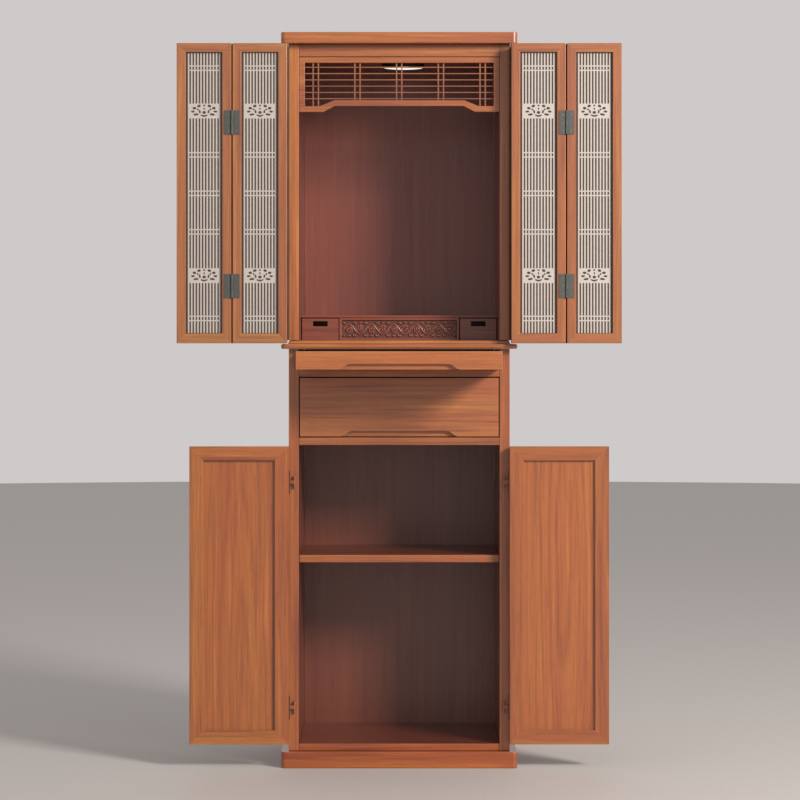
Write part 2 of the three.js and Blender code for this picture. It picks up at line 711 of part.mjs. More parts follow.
const DOOR_Z = [Z_LOWER + DOOR_GAP, Z_DIVIDER - DOOR_GAP];
const DOOR_WIDTH = INNER - DOOR_HINGE_GAP - DOOR_MEETING_GAP / 2;
const DOOR_PIN = { x: HALF - DOOR_PIN_INSET, y: FRONT - DOOR_PIN_AHEAD };
const DOOR_X = 2 * DOOR_PIN.x - (INNER - DOOR_HINGE_GAP);
const DOOR_BACK = 2 * DOOR_PIN.y - FRONT;
const DOOR_FACE = DOOR_BACK - DOOR_THICKNESS;

function buildDoor() {
  const x = [DOOR_X, DOOR_X + DOOR_WIDTH];
  const y = [DOOR_FACE, DOOR_BACK];
  const sheet = [DOOR_FACE + PANEL_RECESS, DOOR_FACE + PANEL_RECESS + PANEL_THICKNESS];
  const members = [DOOR_MEMBER, DOOR_MEMBER, sheet, PANEL_TONGUE];
  const pull = pullInEdge(x[1], DOOR_BACK, DOOR_Z[1] - DOOR_PULL_BELOW_TOP);
  addPair('door_frame', cut(ringFrame(x, y, DOOR_Z, ...members), pull), WOOD);
  addPair('door_panel', ringSheet(x, DOOR_Z, ...members), WOOD_LIGHT);
}

// The strip lies on the stile behind the barrel. The strap leaves the middle knuckle, turned
// by half a turn from where it lies when the door is shut, and carries the door's edge plate.
function buildDoorHinge(level, centre) {
  const z = [centre - DOOR_KNUCKLE * 1.5, centre + DOOR_KNUCKLE * 1.5];
  const middle = [centre - DOOR_KNUCKLE / 2 + KNUCKLE_GAP, centre + DOOR_KNUCKLE / 2 - KNUCKLE_GAP];
  const stripX = [DOOR_PIN.x - DOOR_STRIP_WIDTH / 2, DOOR_PIN.x + DOOR_STRIP_WIDTH / 2];
  const strip = box(stripX, [FRONT - FIT - DOOR_STRIP, FRONT - FIT], z);
  const ends = [[z[0], middle[0] - KNUCKLE_GAP], [middle[1] + KNUCKLE_GAP, z[1]]];
  const neck = [DOOR_PIN.x - DOOR_BARREL / 2, DOOR_PIN.x + DOOR_BARREL / 2];
  const posts = ends.map((span) => post(DOOR_PIN.x, DOOR_PIN.y, span, DOOR_BARREL));
  const necks = ends.map((span) => box(neck, [DOOR_PIN.y, FRONT - FIT], span));
  const pin = post(DOOR_PIN.x, DOOR_PIN.y, z, HINGE_PIN, 12);

  const strapFar = 2 * DOOR_PIN.y - (FRONT - FIT - DOOR_STRIP - FIT);
  const strapY = [strapFar, strapFar + DOOR_STRAP];
  const edgeX = [DOOR_X - FIT - DOOR_STRAP, DOOR_X - FIT];
  const strap = box([DOOR_PIN.x, edgeX[1]], strapY, middle);
  const plateZ = [centre - DOOR_EDGE_PLATE / 2, centre + DOOR_EDGE_PLATE / 2];
  const plate = box(edgeX, [DOOR_FACE + OVERCUT, strapY[1]], plateZ);
  const barrel = post(DOOR_PIN.x, DOOR_PIN.y, middle, DOOR_BARREL);
  const bore = post(DOOR_PIN.x, DOOR_PIN.y, [z[0], z[1]], HINGE_PIN + HINGE_BORE_GAP, 12);
  addPair(`door_hinge_${level}`, join(strip, ...posts, ...necks, pin), GUNMETAL, '_case_half');
  addPair(`door_hinge_${level}`, cut(join(strap, plate, barrel), bore), GUNMETAL, '_door_half');
}

function buildDoors() {
  buildDoor();
  buildDoorHinge('low', DOOR_Z[0] + DOOR_HINGE_FROM_END);
  buildDoorHinge('high', DOOR_Z[1] - DOOR_HINGE_FROM_END);
}

buildCase();
buildTransom();
buildStep();
buildTray();
buildDrawer();
buildLeaves();
buildDoors();

export default group;
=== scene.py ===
"""Looks of a household altar cabinet, opened flat, with its tray drawn out."""

import json
import math

import bpy
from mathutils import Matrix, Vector

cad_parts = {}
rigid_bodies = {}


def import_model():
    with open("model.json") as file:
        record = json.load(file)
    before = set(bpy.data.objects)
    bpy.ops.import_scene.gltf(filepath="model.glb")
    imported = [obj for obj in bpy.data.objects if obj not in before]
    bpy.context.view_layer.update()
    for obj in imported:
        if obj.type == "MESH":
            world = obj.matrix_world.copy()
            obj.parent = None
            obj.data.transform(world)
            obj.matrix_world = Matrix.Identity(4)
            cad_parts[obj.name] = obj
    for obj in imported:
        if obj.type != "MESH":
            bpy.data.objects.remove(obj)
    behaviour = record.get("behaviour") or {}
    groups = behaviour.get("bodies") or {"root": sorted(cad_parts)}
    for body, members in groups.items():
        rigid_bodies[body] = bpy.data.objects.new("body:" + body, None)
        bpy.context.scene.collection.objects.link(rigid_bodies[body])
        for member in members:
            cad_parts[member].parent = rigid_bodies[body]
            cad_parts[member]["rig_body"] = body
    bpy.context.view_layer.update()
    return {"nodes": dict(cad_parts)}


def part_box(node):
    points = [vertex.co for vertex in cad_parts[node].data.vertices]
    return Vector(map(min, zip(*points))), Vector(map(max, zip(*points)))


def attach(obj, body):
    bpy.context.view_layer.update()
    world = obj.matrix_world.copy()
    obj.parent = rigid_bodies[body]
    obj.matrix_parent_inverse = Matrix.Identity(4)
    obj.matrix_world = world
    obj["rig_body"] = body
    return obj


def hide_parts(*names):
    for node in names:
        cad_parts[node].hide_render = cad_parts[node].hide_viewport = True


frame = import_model()

# The plinth is a ring of lacquered hardwood, one board deep, with a bearer across its middle.
# It is glued under the case, its front corners are rounded and its arrises are eased by hand.


def alone(*pieces):
    """Selects these pieces and nothing else, with the first one active."""
    bpy.ops.object.select_all(action="DESELECT")
    for piece in pieces:
        piece.select_set(True)
    bpy.context.view_layer.objects.active = pieces[0]


def grain_place(nodes, links, source, along, across_scale, along_scale, shift):
    """Object coordinates drawn out along the grain, each axis in cycles per metre."""
    mapping = nodes.new("ShaderNodeMapping")
    scale = [across_scale] * 3
    scale["XYZ".index(along)] = along_scale
    mapping.inputs["Scale"].default_value = scale
    mapping.inputs["Location"].default_value = shift
    links.new(source, mapping.inputs["Vector"])
    return mapping.outputs["Vector"]


def cloud(nodes, links, place, scale, detail, roughness, swirl=0.0):
    """Fractal noise at a place."""
    noise = nodes.new("ShaderNodeTexNoise")
    noise.inputs["Scale"].default_value = scale
    noise.inputs["Detail"].default_value = detail
    noise.inputs["Roughness"].default_value = roughness
    noise.inputs["Distortion"].default_value = swirl
    links.new(place, noise.inputs["Vector"])
    return noise.outputs["Fac"]


def stain(nodes, links, value, stops):
    """A ramp from places to greys or colours."""
    node = nodes.new("ShaderNodeValToRGB")
    band = node.color_ramp
    while len(band.elements) < len(stops):
        band.elements.new(0.5)
    for element, (place, colour) in zip(band.elements, stops):
        element.position = place
        grey = isinstance(colour, (int, float))
        element.color = (colour, colour, colour, 1) if grey else (*colour, 1)
    links.new(value, node.inputs["Fac"])
    return node.outputs["Color"]


def darkened(nodes, links, strength, colour, by):
    """One colour multiplied by another, as strongly as said."""
    node = nodes.new("ShaderNodeMix")
    node.data_type = "RGBA"
    node.blend_type = "MULTIPLY"
    node.inputs[0].default_value = strength
    links.new(colour, node.inputs[6])
    links.new(by, node.inputs[7])
    return node.outputs[2]


WOOD_DEEP = (0.205, 0.046, 0.012)
WOOD_BODY = (0.325, 0.090, 0.020)
WOOD_PALE = (0.425, 0.146, 0.034)
STREAKS = (58, 1.9)
BROAD_PLACES = (13, 0.8)
FINE_LINES = (230, 5)
PORES = (820, 26)
BROAD_MARKS = ((0.36, (0.86, 0.74, 0.84)), (0.50, (1.0, 0.98, 1.0)), (0.64, (1.05, 1.16, 0.98)))
LINE_STRENGTH = 0.60
ARCH_STRENGTH = 0.34
ARCH_INTO_BOARD = 0.2
ARCH_DRAWN_OUT = 0.075
PORE_STRENGTH = 0.5
PORE_RELIEF = 0.12
PORE_DEPTH = 0.0006
LACQUER_COAT = 0.85
LACQUER_ROUGHNESS = 0.26


def wood(name, along, shift=(0, 0, 0), tone=(1, 1, 1), arch=None, roughness=0.40, figure=0.85):
    """Lacquered hardwood, with streaks, fine lines and pores along the grain, each in cycles per
    metre across and along it. An arch is the centre and the half width of a flat-sawn figure, and
    figure says how strong all marks are."""
    material = bpy.data.materials.new(name)
    material.use_nodes = True
    nodes, links = material.node_tree.nodes, material.node_tree.links
    shader = nodes["Principled BSDF"]
    place = nodes.new("ShaderNodeTexCoord").outputs["Object"]
    streak_place = grain_place(nodes, links, place, along, *STREAKS, shift)
    streak = cloud(nodes, links, streak_place, 1, 4, 0.62, 0.35)
    tinted = [[t * (b + figure * (c - b)) for c, b, t in zip(colour, WOOD_BODY, tone)]
              for colour in (WOOD_DEEP, WOOD_BODY, WOOD_PALE)]
    body = stain(nodes, links, streak, [(0.32, tinted[0]), (0.46, tinted[1]),
                                        (0.55, tinted[1]), (0.69, tinted[2])])
    broad_place = grain_place(nodes, links, place, along, *BROAD_PLACES, shift)
    broad = cloud(nodes, links, broad_place, 1, 2, 0.5)
    body = darkened(nodes, links, figure, body, stain(nodes, links, broad, BROAD_MARKS))
    line_place = grain_place(nodes, links, place, along, *FINE_LINES, shift)
    lines = stain(nodes, links, cloud(nodes, links, line_place, 1, 3, 0.6), [(0.36, 0.55), (0.52, 1.0)])
    body = darkened(nodes, links, LINE_STRENGTH * figure, body, lines)
    if arch:
        (centre_x, centre_z), half_width = arch
        mapping = nodes.new("ShaderNodeMapping")
        reach = 1 / half_width
        middle = (-centre_x * reach, 0, -centre_z * ARCH_DRAWN_OUT * reach)
        mapping.inputs["Scale"].default_value = (reach, ARCH_INTO_BOARD * reach, ARCH_DRAWN_OUT * reach)
        mapping.inputs["Location"].default_value = middle
        links.new(place, mapping.inputs["Vector"])
        rings = nodes.new("ShaderNodeTexWave")
        rings.wave_type = "RINGS"
        rings.rings_direction = "Y"
        rings.inputs["Scale"].default_value = 1.5
        rings.inputs["Distortion"].default_value = 6.5
        rings.inputs["Detail"].default_value = 3
        rings.inputs["Detail Scale"].default_value = 1.1
        links.new(mapping.outputs["Vector"], rings.inputs["Vector"])
        arches = stain(nodes, links, rings.outputs["Fac"], [(0.0, (0.62, 0.50, 0.45)), (0.45, 1.0)])
        body = darkened(nodes, links, ARCH_STRENGTH, body, arches)
    pore_place = grain_place(nodes, links, place, along, *PORES, shift)
    pores = stain(nodes, links, cloud(nodes, links, pore_place, 1, 2, 0.5), [(0.32, 0.5), (0.42, 1.0)])
    body = darkened(nodes, links, PORE_STRENGTH, body, pores)
    links.new(body, shader.inputs["Base Color"])
    links.new(stain(nodes, links, streak, [(0.3, roughness + 0.08), (0.7, roughness)]),
              shader.inputs["Roughness"])
    shader.inputs["Coat Weight"].default_value = LACQUER_COAT
    shader.inputs["Coat Roughness"].default_value = LACQUER_ROUGHNESS
    relief = nodes.new("ShaderNodeBump")
    relief.inputs["Strength"].default_value = PORE_RELIEF
    relief.inputs["Distance"].default_value = PORE_DEPTH
    links.new(pores, relief.inputs["Height"])
    links.new(relief.outputs["Normal"], shader.inputs["Normal"])
    return material


def carried_by(piece, node):
    """Lets a finished piece stand for its CAD node and move with its body."""
    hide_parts(node)
    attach(piece, frame["nodes"][node]["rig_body"])


SHARPER_THAN = math.radians(38)
SMOOTH_UP_TO = math.radians(50)


def eased(piece, width, segments=2):
    """Rounds the arrises of a piece and keeps its broad faces flat."""
    alone(piece)
    arris = piece.modifiers.new("eased arris", "BEVEL")
    arris.width = width
    arris.segments = segments
    arris.limit_method = "ANGLE"
    arris.angle_limit = SHARPER_THAN
    arris.loop_slide = False
    bpy.ops.object.modifier_apply(modifier=arris.name)
    bpy.ops.object.shade_smooth_by_angle(angle=SMOOTH_UP_TO)
    flats = piece.modifiers.new("flat faces", "WEIGHTED_NORMAL")
    flats.keep_sharp = True
    flats.weight = 100
    bpy.ops.object.modifier_apply(modifier=flats.name)


MERGE_WITHIN = 0.00002
FLAT_WITHIN = math.radians(1)


def copy_of(node, name):
    """A merged copy of a CAD node's mesh, ready to be shaped."""
    piece = bpy.data.objects.new(name, frame["nodes"][node].data.copy())
    bpy.context.collection.objects.link(piece)
    alone(piece)
    bpy.ops.object.mode_set(mode="EDIT")
    bpy.ops.mesh.select_all(action="SELECT")
    bpy.ops.mesh.remove_doubles(threshold=MERGE_WITHIN)
    bpy.ops.mesh.dissolve_limited(angle_limit=FLAT_WITHIN)
    bpy.ops.object.mode_set(mode="OBJECT")
    piece.data.materials.clear()
    return piece


BOARD_ARRIS = 0.0012
PLINTH_ARRIS = 0.0026


def board(node, finish, width=BOARD_ARRIS, segments=2):
    """A board as built, with its arrises eased and a lacquered finish."""
    piece = copy_of(node, node + "_board")
    piece.data.materials.append(finish)
    eased(piece, width, segments)
    carried_by(piece, node)
    return piece


board("plinth", wood("plinth_wood", "X", (0.3, 0.1, 4.2), (0.92, 0.66, 0.30)), PLINTH_ARRIS, 3)

# The case is glued up from solid boards: two sides below and two above, with the floor, shelf,
# divider, tray bed and fascia housed between them. Faces that look into the case are coloured
# dark and purplish as painted shade, with a painted sheen of the sky in the shade.

# Painted shade: a dark, purplish colour factor for the faces inside the case, where shade falls.
INNER_PAINTED_SHADE = (0.42, 0.27, 0.30)


def painted_shade_inside(piece, node, grain, inward):
    """Gives painted shade, a dark purplish colour, to the faces of a board that look into the case."""
    piece.data.materials.append(wood(node + "_inside", grain, (0.2, 0.9, 1.4), INNER_PAINTED_SHADE, figure=0.6))
    for face in piece.data.polygons:
        if face.normal.dot(Vector(inward)) > 0.9:
            face.material_index = 1


# The side factors are painted light: they lighten and grey the left sides, the upper one most, and make the
# upper right side a little bluer as painted sheen.
for side_number, (side_node, inward, side_painted_light) in enumerate((
        ("lower_side_left", (1, 0, 0), (1.04, 1.07, 1.04)),
        ("lower_side_right", (-1, 0, 0), (1.0, 1.0, 1.0)),
        ("shrine_side_left", (1, 0, 0), (1.28, 1.42, 1.20)),
        ("shrine_side_right", (-1, 0, 0), (1.0, 1.06, 1.1)))):
    side_shift = (1.7 * side_number, 0.4, 0.9 * side_number)
    side_finish = wood(side_node + "_wood", "Z", side_shift, side_painted_light)
    painted_shade_inside(board(side_node, side_finish), side_node, "Z", inward)
for cross_number, (cross_node, cross_tone) in enumerate((
        ("lower_floor", (0.94, 0.72, 0.42)), ("lower_shelf", (1.0, 1.0, 1.0)),
        ("drawer_divider", (0.93, 1.0, 1.1)), ("tray_bed", (1.0, 1.0, 1.0)),
        ("shrine_fascia", (0.95, 1.02, 1.02)))):
    cross_shift = (0.6 * cross_number, 0.2, 2.3 * cross_number)
    cross_finish = wood(cross_node + "_wood", "X", cross_shift, cross_tone)
    cross_board = board(cross_node, cross_finish)
    if cross_node in ("lower_floor", "lower_shelf", "tray_bed"):
        painted_shade_inside(cross_board, cross_node, "X", (0, 0, 1))

# The backs and the ceiling are thin boards of the same wood, coloured darker as painted shade, the
# backs purplish with a painted sheen of the sky. They sit in rebates, deep in the case, and take
# little light.

# Painted shade: each factor darkens a back or the ceiling, and the purple on the backs is painted sheen.
for back_number, (back_node, back_grain, back_painted_shade) in enumerate((
        ("lower_back", "Z", (0.47, 0.34, 0.52)), ("shrine_back", "Z", (0.60, 0.41, 0.84)),
        ("shrine_ceiling", "X", (0.52, 0.18, 0.14)))):
    back_finish = wood(back_node + "_wood", back_grain, (0.8 + back_number, 0, 0.3), back_painted_shade,
                       roughness=0.46, figure=0.45)
    board(back_node, back_finish)

# The shrine base and the cap are thick boards that stand out past the case. Their front corners
# are rounded in plan, and the base has a softer edge than the cap.

BASE_ARRIS = 0.0045
CAP_ARRIS = 0.0022
base_finish = wood("shrine_base_wood", "X", (0.2, 0.7, 5.1), (1.0, 1.04, 1.02))
board("shrine_base", base_finish, BASE_ARRIS, 4)
cap_finish = wood("shrine_cap_wood", "X", (0.9, 0.3, 7.7), (1.06, 1.10, 0.98))
board("shrine_cap", cap_finish, CAP_ARRIS, 3)

# The transom is a thin frame whose lower rail steps up in the middle. Slim bars cross in it, five
# pairs upright and six single ones level, let into the frame.

TRANSOM_ARRIS = 0.0010
LATTICE_ARRIS = 0.0004
board("transom_frame", wood("transom_wood", "X", (0.1, 0.5, 3.9)), TRANSOM_ARRIS)
lattice_wood = wood("lattice_wood", "X", (0.4, 0.1, 1.1), (0.78, 0.92, 1.35))
board("transom_lattice", lattice_wood, LATTICE_ARRIS, 1)

# The lamp is a dark round housing screwed to the ceiling, with an opal lens sunk behind its rim.
# The lens is crowned in steps from its edge to its middle, and the lamp is switched on.


def plain(name, colour, roughness, metallic=0.0, grain=160):
    """A finish of one colour whose tone and gloss vary a little over the surface."""
    material = bpy.data.materials.new(name)
    material.use_nodes = True
    nodes, links = material.node_tree.nodes, material.node_tree.links
    shader = nodes["Principled BSDF"]
    place = nodes.new("ShaderNodeTexCoord").outputs["Object"]
    speckle = cloud(nodes, links, place, grain, 3, 0.6)
    links.new(stain(nodes, links, speckle, [(0.3, [0.86 * c for c in colour]), (0.7, colour)]),
              shader.inputs["Base Color"])
    links.new(stain(nodes, links, speckle, [(0.3, roughness + 0.08), (0.7, roughness)]),
              shader.inputs["Roughness"])
    shader.inputs["Metallic"].default_value = metallic
    return material


def facing_down(piece):
    """Selects the faces of a piece that look straight down, and nothing else."""
    alone(piece)
    bpy.ops.object.mode_set(mode="EDIT")
    bpy.ops.mesh.select_mode(type="FACE")
    bpy.ops.mesh.select_all(action="DESELECT")
    bpy.ops.object.mode_set(mode="OBJECT")
    for face in piece.data.polygons:
        face.select = face.normal.z < -0.99
    bpy.ops.object.mode_set(mode="EDIT")


LAMP_FACETS = 64
LAMP_RIM = 0.0022
LAMP_RECESS = 0.0048
LAMP_WALL_SLOPE = 0.0002
LAMP_ARRIS = 0.0006
LENS_DEPTH = 0.0010
LENS_BEHIND_RECESS = 0.0001
LENS_CROWN = 0.0012
CROWN_STEPS = 5
CROWN_SMOOTH_UP_TO = math.radians(40)
lamp_low, lamp_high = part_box("lamp")
lamp_centre = (lamp_low + lamp_high) / 2
lamp_radius = (lamp_high.x - lamp_low.x) / 2
bpy.ops.object.select_all(action="DESELECT")
bpy.ops.mesh.primitive_cylinder_add(vertices=LAMP_FACETS, radius=lamp_radius,
                                    depth=lamp_high.z - lamp_low.z, location=lamp_centre)
lamp_housing = bpy.context.object
lamp_housing.name = "lamp_housing"
bpy.ops.object.transform_apply(location=True, rotation=True, scale=True)
lamp_housing.data.materials.append(plain("lamp_housing_paint", (0.014, 0.008, 0.007), 0.5))
facing_down(lamp_housing)
bpy.ops.mesh.inset(thickness=LAMP_RIM, depth=0)
bpy.ops.mesh.inset(thickness=LAMP_WALL_SLOPE, depth=-LAMP_RECESS)
bpy.ops.object.mode_set(mode="OBJECT")
eased(lamp_housing, LAMP_ARRIS, 3)
carried_by(lamp_housing, "lamp")

lens_z = lamp_low.z + LAMP_RECESS - LENS_DEPTH / 2 - LENS_BEHIND_RECESS
bpy.ops.object.select_all(action="DESELECT")
bpy.ops.mesh.primitive_cylinder_add(vertices=LAMP_FACETS, radius=lamp_radius - LAMP_RIM - LAMP_WALL_SLOPE,
                                    depth=LENS_DEPTH, location=(lamp_centre.x, lamp_centre.y, lens_z))
lamp_lens = bpy.context.object
lamp_lens.name = "lamp_lens"
bpy.ops.object.transform_apply(location=True, rotation=True, scale=True)
facing_down(lamp_lens)
for crown_step in range(CROWN_STEPS):
    bpy.ops.mesh.inset(thickness=lamp_radius / (CROWN_STEPS + 1),
                       depth=LENS_CROWN / CROWN_STEPS / (1 + crown_step))
bpy.ops.object.mode_set(mode="OBJECT")
bpy.ops.object.shade_smooth_by_angle(angle=CROWN_SMOOTH_UP_TO)
opal = plain("lamp_opal", (0.84, 0.80, 0.74), 0.35)
opal_shader = opal.node_tree.nodes["Principled BSDF"]
opal_shader.inputs["Emission Color"].default_value = (1, 0.94, 0.86, 1)
opal_shader.inputs["Emission Strength"].default_value = 1.0
lamp_lens.data.materials.append(opal)
carried_by(lamp_lens, "lamp")

# The step at the back of the shrine has a thin top, two partitions and two small drawers whose
# fronts are cut with a finger slot. It is screwed down through the shrine base.

# Painted shade: the step stands deep in the shrine, and its colour is made darker and greyer for the shade
# on it.
STEP_PAINTED_SHADE = (0.62, 0.44, 0.60)
STEP_ARRIS = 0.0008
for step_number, (step_node, step_grain) in enumerate((
        ("step_top", "X"), ("step_partition_left", "Z"), ("step_partition_right", "Z"),
        ("step_drawer_left", "X"), ("step_drawer_right", "X"))):
    step_finish = wood(step_node + "_wood", step_grain, (2.1 * step_number, 0.3, 0.6), STEP_PAINTED_SHADE)
    board(step_node, step_finish, STEP_ARRIS)

# The step's middle board is carved from the solid: a running scroll with a flower in each bend
# stands in a sunk field that is coloured darker than the rest, as painted shade in the hollow.

CARVING_BORDER = 0.006
CARVING_DEPTH = 0.0050
FIELD_WALL_SLOPE = 0.0015
CARVED_ARRIS = 0.0006
FIELD_MARGIN = 0.004
CARVING_BENDS = 10
CARVING_SWING = 0.0130
VINE_RADIUS = 0.0023
VINE_SUNK_SHARE = 0.3
STEM_STEPS = 12
CURL_SHARE_OF_VINE = 0.8
CURL_STEPS = 18
CURL_STARTS_AT = 150
CURL_TURN = 18
CURL_REACH = 0.0112
CURL_TIGHTENS = 0.00022
CURL_THINS = 0.03
FLOWER_OFF_MIDDLE = 0.0035
PETAL_COUNT = 6
PETALS_TURNED = 30
PETAL_RING = 0.0050
PETAL_SIZE = (0.0066, 0.0052)
PETAL_RISE = 0.0038
HEART_SIZE = (0.0046, 0.0046)
HEART_RISE = 0.0047
LEAFLET_SIZE = (0.0115, 0.0054)
LEAFLET_RISE = 0.0034
LEAFLETS = ((-0.0125, -0.0165, 35), (0.0125, -0.0165, -35), (0.0, -0.0172, 0),
            (-0.0130, 0.0165, -40), (0.0130, 0.0165, 40))
carved_low, carved_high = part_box("step_front")
carved_wood = wood("carved_wood", "X", (0.5, 0.5, 0.5), STEP_PAINTED_SHADE)
# Painted shade: the sunk field is coloured near-black for the shade in the hollow.
sunk_painted_shade = wood("sunk_painted_shade", "X", (0.9, 0.5, 0.5), (0.22, 0.15, 0.2), roughness=0.6)
bpy.ops.object.select_all(action="DESELECT")
bpy.ops.mesh.primitive_cube_add(size=1, location=(carved_low + carved_high) / 2)
carved_board = bpy.context.object
carved_board.name = "carved_board"
carved_board.scale = carved_high - carved_low
bpy.ops.object.transform_apply(location=True, rotation=True, scale=True)
carved_board.data.materials.append(carved_wood)
carved_board.data.materials.append(sunk_painted_shade)
bpy.ops.object.mode_set(mode="EDIT")
bpy.ops.mesh.select_mode(type="FACE")
bpy.ops.mesh.select_all(action="DESELECT")
bpy.ops.object.mode_set(mode="OBJECT")
for face in carved_board.data.polygons:
    face.select = face.normal.y < -0.9
bpy.ops.object.mode_set(mode="EDIT")
bpy.ops.mesh.inset(thickness=CARVING_BORDER, depth=0)
bpy.ops.mesh.inset(thickness=FIELD_WALL_SLOPE, depth=-CARVING_DEPTH)
carved_board.active_material_index = 1
bpy.ops.object.material_slot_assign()
bpy.ops.object.mode_set(mode="OBJECT")
eased(carved_board, CARVED_ARRIS, 2)

field_y = carved_low.y + CARVING_DEPTH
field_z = (carved_low.z + carved_high.z) / 2
field_left = carved_low.x + CARVING_BORDER + FIELD_MARGIN
bend = (carved_high.x - CARVING_BORDER - FIELD_MARGIN - field_left) / CARVING_BENDS


def vine(points, thickness):
    """A round vine along points of (x, z, share of thickness), as a mesh on the sunk field."""
    curve = bpy.data.curves.new("vine", "CURVE")
    curve.dimensions = "3D"
    curve.bevel_depth = thickness
    curve.bevel_resolution = 2
    curve.use_fill_caps = True
    spline = curve.splines.new("POLY")
    spline.points.add(len(points) - 1)
    for point, (x, z, share) in zip(spline.points, points):
        point.co = (x, field_y - VINE_SUNK_SHARE * thickness, z, 1)
        point.radius = share
    strand = bpy.data.objects.new("vine", curve)
    bpy.context.collection.objects.link(strand)
    alone(strand)
    bpy.ops.object.convert(target="MESH")
    return bpy.context.object


def petal(x, z, size, turn, rise):
    """A petal or leaflet: a flattened ball that lies turned on the sunk field."""
    long, wide = size
    bpy.ops.object.select_all(action="DESELECT")
    bpy.ops.mesh.primitive_uv_sphere_add(segments=12, ring_count=8, radius=1, location=(x, field_y, z),
                                         rotation=(0, -turn, 0), scale=(long / 2, rise, wide / 2))
    return bpy.context.object


carving = []
for number in range(CARVING_BENDS):
    side = 1 if number % 2 == 0 else -1
    start = field_left + number * bend
    stem = []
    for k in range(STEM_STEPS + 1):
        swing = side * CARVING_SWING * math.sin(math.pi * k / STEM_STEPS)
        stem.append((start + bend * k / STEM_STEPS, field_z + swing, 1.0))
    carving.append(vine(stem, VINE_RADIUS))
    flower_x, flower_z = start + bend / 2, field_z - side * FLOWER_OFF_MIDDLE
    curl = []
    for k in range(CURL_STEPS + 1):
        turn = math.radians(CURL_STARTS_AT - CURL_TURN * k)
        reach = CURL_REACH - CURL_TIGHTENS * k
        curl.append((flower_x + side * reach * math.cos(turn), flower_z + side * reach * math.sin(turn),
                     1.0 - CURL_THINS * k))
    carving.append(vine(curl, VINE_RADIUS * CURL_SHARE_OF_VINE))
    for k in range(PETAL_COUNT):
        turn = math.radians(360 / PETAL_COUNT * k + PETALS_TURNED)
        carving.append(petal(flower_x + PETAL_RING * math.cos(turn), flower_z + PETAL_RING * math.sin(turn),
                             PETAL_SIZE, turn, PETAL_RISE))
    carving.append(petal(flower_x, flower_z, HEART_SIZE, 0, HEART_RISE))
    for leaf_x, leaf_z, turn in LEAFLETS:
        carving.append(petal(flower_x + leaf_x, field_z + side * leaf_z, LEAFLET_SIZE,
                             side * math.radians(turn), LEAFLET_RISE))
alone(carved_board, *carving)
for piece in carving:
    piece.data.materials.clear()
    piece.data.materials.append(carved_wood)
bpy.ops.object.join()
bpy.ops.object.transform_apply(location=True, rotation=True, scale=True)
carried_by(carved_board, "step_front")

# The tray is a flat board on two runners with a lighter front. Along the front's lower edge a
# finger pull is carved, with S-shaped ends.

LIGHT_STAIN = (1.22, 1.34, 1.12)
PULL_FRONT_ARRIS = 0.0014
tray_finish = wood("tray_front_wood", "X", (0.7, 0.2, 6.4), LIGHT_STAIN)
board("tray_front", tray_finish, PULL_FRONT_ARRIS, 3)
board("tray_board", wood("tray_board_wood", "X", (0.1, 0.9, 2.4), LIGHT_STAIN))

# The drawer has a thick front with the same finger pull, on a plain rebated box of paler wood. It
# runs on the divider under it, with no metal runners.

# The drawer front's colour is turned bluer as painted shade, for the tray's shadow that falls across it.
drawer_finish = wood("drawer_front_wood", "X", (0.4, 0.6, 8.2), (1.03, 1.06, 1.26))
board("drawer_front", drawer_finish, PULL_FRONT_ARRIS, 3)
board("drawer_box", wood("drawer_box_wood", "X", (0.3, 0.2, 0.7), LIGHT_STAIN))

# Each shrine leaf is a slim frame with mitred corners, and its glass is held from outside by a
# bead. The outer leaf has a pull carved in its free edge, and a near-black strip on the back of
# the inner leaf covers the joint between the two as a painted shadow.

LEAF_MEMBER = 0.023
LEAF_BOTTOM_MEMBER = 0.025
BEAD_WIDTH = 0.0040
BEAD_RISE = 0.0055


def member(low, high, cuts, finish):
    """One straight member: an open-ended bar, cut off by planes whose outer side is cleared."""
    bpy.ops.object.select_all(action="DESELECT")
    bpy.ops.mesh.primitive_cube_add(size=1, location=(low + high) / 2)
    bar = bpy.context.object
    bar.scale = high - low
    bpy.ops.object.transform_apply(location=True, rotation=True, scale=True)
    bpy.ops.object.mode_set(mode="EDIT")
    for corner, outward in cuts:
        bpy.ops.mesh.select_all(action="SELECT")
        bpy.ops.mesh.bisect(plane_co=corner, plane_no=outward, use_fill=False, clear_outer=True)
    bpy.ops.object.mode_set(mode="OBJECT")
    bar.data.materials.append(finish)
    return bar


def mitred_ring(name, low, high, side, bottom, upright_finish, level_finish):
    """Four members that meet in mitres, merged into one closed ring."""
    corners = {}
    for right in (False, True):
        for upper in (False, True):
            rise = side if upper else bottom
            point = Vector((high.x if right else low.x, 0, high.z if upper else low.z))
            corners[right, upper] = (point, Vector((-rise if right else rise, 0, side if upper else -side)))
    bars = []
    for right in (False, True):
        edge = (high.x - side, high.x) if right else (low.x, low.x + side)
        cuts = [corners[right, upper] for upper in (False, True)]
        bars.append(member(Vector((edge[0], low.y, low.z)), Vector((edge[1], high.y, high.z)), cuts,
                           upright_finish))
    for upper in (False, True):
        edge = (high.z - side, high.z) if upper else (low.z, low.z + bottom)
        cuts = [(point, -across) for point, across in (corners[right, upper] for right in (False, True))]
        bars.append(member(Vector((low.x, low.y, edge[0])), Vector((high.x, high.y, edge[1])), cuts,
                           level_finish))
    alone(*bars)
    bpy.ops.object.join()
    ring = bpy.context.object
    ring.name = name
    bpy.ops.object.mode_set(mode="EDIT")
    bpy.ops.mesh.select_all(action="SELECT")
    bpy.ops.mesh.remove_doubles(threshold=0.00001)
    bpy.ops.mesh.normals_make_consistent(inside=False)
    bpy.ops.object.mode_set(mode="OBJECT")
    return ring


